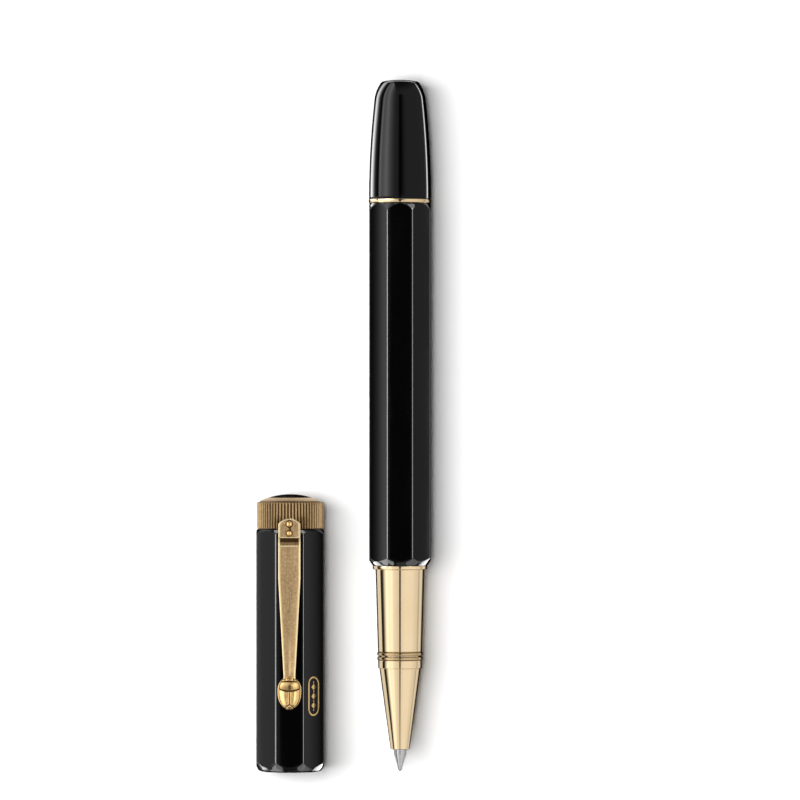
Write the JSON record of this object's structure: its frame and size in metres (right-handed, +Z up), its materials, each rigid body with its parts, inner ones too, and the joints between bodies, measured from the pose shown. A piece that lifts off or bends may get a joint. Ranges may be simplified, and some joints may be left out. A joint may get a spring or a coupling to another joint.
{
  "type": "rollerball pen",
  "caption": "Twist-action rollerball pen with an eight-sided black barrel and gold grip, lying beside its cap with a beetle clip.",
  "frame": {"origin": "middle of the barrel's bottom facet, on the surface that pen and cap lie on", "axes": "+Z up from that surface, +Y along the pen to its knob, +X from the cap to the pen"},
  "size_m": [0.0324, 0.1278, 0.0159],
  "materials": {
    "black_lacquer": "high-gloss black lacquer",
    "polished_gold": "polished pale gold plating",
    "aged_gold": "antique gold, satin",
    "bright_gold": "gold plating with rubbed high spots",
    "brass": "machined",
    "steel": "fine turned",
    "refill_body": "moulded",
    "dark_plastic": "moulded",
    "pale_plastic": "moulded",
    "ink_wick": "bonded fibre",
    "dark_dome": "polished dark dome"
  },
  "bodies": {
    "barrel": {"barrel": "black_lacquer", "barrel_bush": "brass", "guide_tube": "brass", "retaining_ring": "steel", "knob_ring": "polished_gold"},
    "section": {"section_coupling": "polished_gold", "grip_sleeve": "polished_gold", "grip_rings": "polished_gold", "nose_cone": "polished_gold", "refill_spring": "steel"},
    "refill": {"refill_tube": "refill_body", "refill_neck": "dark_plastic", "refill_tip": "steel", "refill_feed": "pale_plastic", "refill_wick": "ink_wick", "refill_plug": "dark_plastic"},
    "ball": {"writing_ball": "steel"},
    "carrier": {"carrier": "pale_plastic", "carrier_pin": "steel"},
    "knob": {"knob": "black_lacquer", "cam_sleeve": "brass"},
    "cap": {"cap_shell": "black_lacquer", "cap_liner": "dark_plastic", "crown_ring": "aged_gold", "crown_jewel": "dark_dome", "crown_screw": "steel", "clip_bracket": "aged_gold", "clip_pin": "steel", "clip_spring": "steel", "cap_inlay": "bright_gold"},
    "clip": {"clip_arm": "aged_gold", "clip_tab": "aged_gold", "clip_studs": "bright_gold", "clip_beetle": "bright_gold"}
  },
  "joints": [
    {"name": "section_unscrew", "type": "slide", "parent": "barrel", "child": "section", "axis": [0, -1, 0], "range_m": [0, 0.085]},
    {"name": "refill_retract", "type": "slide", "parent": "section", "child": "refill", "axis": [0, 1, 0], "range_m": [0, 0.005], "deforming": ["refill_spring"]},
    {"name": "ball_roll", "type": "hinge", "parent": "refill", "child": "ball", "pos_m": [0, -0.07115, 0.0057], "axis": [1, 0, 0], "continuous": true},
    {"name": "knob_turn", "type": "hinge", "parent": "barrel", "child": "knob", "pos_m": [0, 0.0342, 0.0057], "axis": [0, 1, 0], "range_deg": [0, 180]},
    {"name": "carrier_slide", "type": "slide", "parent": "barrel", "child": "carrier", "axis": [0, 1, 0], "range_m": [0, 0.005]},
    {"name": "cap_turn", "type": "hinge", "parent": "barrel", "child": "cap", "pos_m": [-0.01015, -0.12, 0], "axis": [0, 0, 1], "range_deg": [0, 180]},
    {"name": "clip_lift", "type": "hinge", "parent": "cap", "child": "clip", "pos_m": [-0.0203, -0.0271, 0.01345], "axis": [-1, 0, 0], "range_deg": [0, 8], "stiffness_Nm_per_rad": 0.08, "springref_deg": -5.73, "deforming": ["clip_spring"]}
  ],
  "couplings": [
    {"joint": "carrier_slide", "follows": "knob_turn", "m_per_rad": 0.0015915},
    {"joint": "refill_retract", "follows": "knob_turn", "m_per_rad": 0.0015915}
  ]
}
